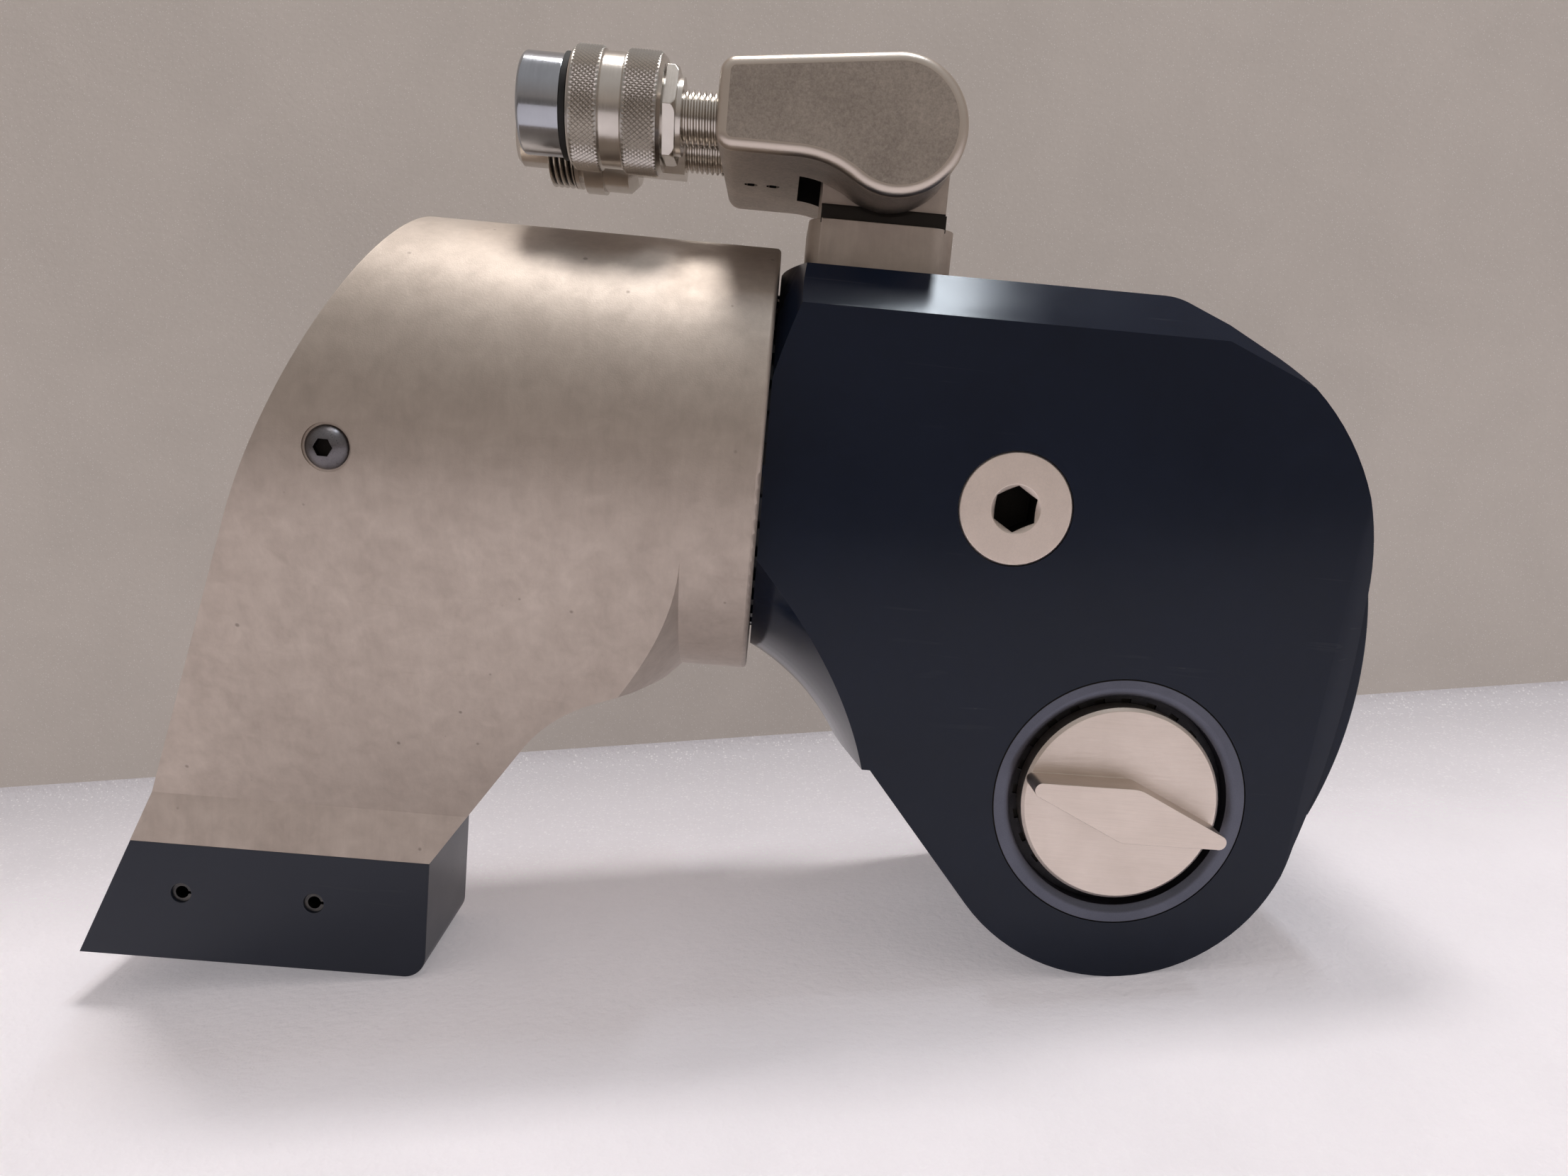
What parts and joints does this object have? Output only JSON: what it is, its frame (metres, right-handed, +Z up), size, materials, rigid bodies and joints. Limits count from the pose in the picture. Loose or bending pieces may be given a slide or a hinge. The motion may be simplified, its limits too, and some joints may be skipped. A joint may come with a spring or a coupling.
{
  "type": "hydraulic torque wrench",
  "caption": "Square-drive hydraulic torque wrench: ratchet housing with a cylinder, a two-axis swivel with quick couplers, and a splined reaction arm with a pad.",
  "frame": {"origin": "on the drive axis, midway across the housing", "axes": "+X along the cylinder from the reaction arm to the drive, +Y along the drive axis towards the square, +Z up from the drive to the cylinder"},
  "size_m": [0.3349, 0.1483, 0.2535],
  "materials": {
    "black_coat": "semi-gloss black coat, fine scratches",
    "pad_coat": "semi-gloss black coat",
    "satin_nickel": "satin nickel plate",
    "blasted_nickel": "bead-blasted nickel plate",
    "machined_steel": "machined and ground",
    "coupler_steel": "bright zinc plate with a diamond knurl",
    "polished_steel": "polished",
    "dark_steel": "blackened",
    "gland_bronze": "machined",
    "seal_rubber": "matt"
  },
  "bodies": {
    "housing": {"housing": "black_coat", "rear_cover": "black_coat", "cover_screws": "dark_steel", "front_bush": "black_coat", "rear_bush": "black_coat", "access_plug": "satin_nickel", "end_cap": "machined_steel", "cap_seal": "seal_rubber", "rod_gland": "gland_bronze", "rod_seal": "seal_rubber"},
    "piston": {"piston": "machined_steel", "piston_seal": "seal_rubber", "piston_rod": "machined_steel", "rod_pin": "machined_steel"},
    "crank": {"crank_plate_front": "dark_steel", "crank_plate_rear": "dark_steel", "pawl_pin": "machined_steel", "spring_pin": "machined_steel", "pawl_spring": "dark_steel"},
    "pawl": {"drive_pawl": "machined_steel"},
    "drive": {"ratchet": "dark_steel", "square_drive": "machined_steel"},
    "knob": {"retainer_knob": "satin_nickel", "retainer_nut": "dark_steel"},
    "swivel": {"swivel_base": "satin_nickel", "spigot_seals": "seal_rubber", "spigot_clip": "dark_steel"},
    "head": {"swivel_head": "blasted_nickel", "pivot_pin": "machined_steel", "pivot_cap": "satin_nickel", "gallery_plugs": "dark_steel", "socket_body": "coupler_steel", "socket_ring": "seal_rubber", "socket_sleeve": "polished_steel", "socket_spring": "dark_steel", "nipple_body": "coupler_steel", "nipple_spring": "dark_steel"},
    "collar": {"socket_collar": "coupler_steel"},
    "socket_valve": {"socket_poppet": "machined_steel"},
    "nipple_valve": {"nipple_poppet": "machined_steel"},
    "arm": {"reaction_arm": "satin_nickel", "reaction_pad": "pad_coat", "pad_pins": "dark_steel", "arm_screw": "dark_steel"}
  },
  "joints": [
    {"name": "piston_stroke", "type": "slide", "parent": "housing", "child": "piston", "axis": [1, 0, 0], "range_m": [0, 0.034]},
    {"name": "crank_swing", "type": "hinge", "parent": "housing", "child": "crank", "pos_m": [0, 0, 0], "axis": [0, 1, 0], "range_deg": [0, 25.3]},
    {"name": "drive_turn", "type": "hinge", "parent": "housing", "child": "drive", "pos_m": [0, 0, 0], "axis": [0, 1, 0], "range_deg": [0, 25.3]},
    {"name": "pawl_lift", "type": "hinge", "parent": "crank", "child": "pawl", "pos_m": [-0.01573, 0, 0.04956], "axis": [0, -1, 0], "range_deg": [0, 10], "stiffness_Nm_per_rad": 0.6, "springref_deg": -11.46, "deforming": ["pawl_spring"]},
    {"name": "knob_turn", "type": "hinge", "parent": "drive", "child": "knob", "pos_m": [0, 0, 0], "axis": [0, 1, 0], "range_deg": [0, 90]},
    {"name": "swivel_yaw", "type": "hinge", "parent": "housing", "child": "swivel", "pos_m": [-0.072, 0, 0.127], "axis": [0, 0, 1], "continuous": true},
    {"name": "head_tilt", "type": "hinge", "parent": "swivel", "child": "head", "pos_m": [-0.072, 0, 0.16], "axis": [0, 1, 0], "range_deg": [0, 180]},
    {"name": "collar_spin", "type": "hinge", "parent": "head", "child": "collar", "pos_m": [-0.1433, -0.0166, 0.1624], "axis": [1, 0, 0], "continuous": true},
    {"name": "socket_valve_push", "type": "slide", "parent": "head", "child": "socket_valve", "axis": [1, 0, 0], "range_m": [0, 0.004], "stiffness_N_per_m": 800, "springref_m": -0.003, "deforming": ["socket_spring"]},
    {"name": "nipple_valve_push", "type": "slide", "parent": "head", "child": "nipple_valve", "axis": [1, 0, 0], "range_m": [0, 0.004], "stiffness_N_per_m": 800, "springref_m": -0.003, "deforming": ["nipple_spring"]},
    {"name": "arm_slide", "type": "slide", "parent": "housing", "child": "arm", "axis": [-1, 0, 0], "range_m": [0, 0.1]}
  ],
  "couplings": [
    {"joint": "crank_swing", "follows": "piston_stroke", "rad_per_m": 12.945},
    {"joint": "drive_turn", "follows": "piston_stroke", "rad_per_m": 12.945}
  ]
}
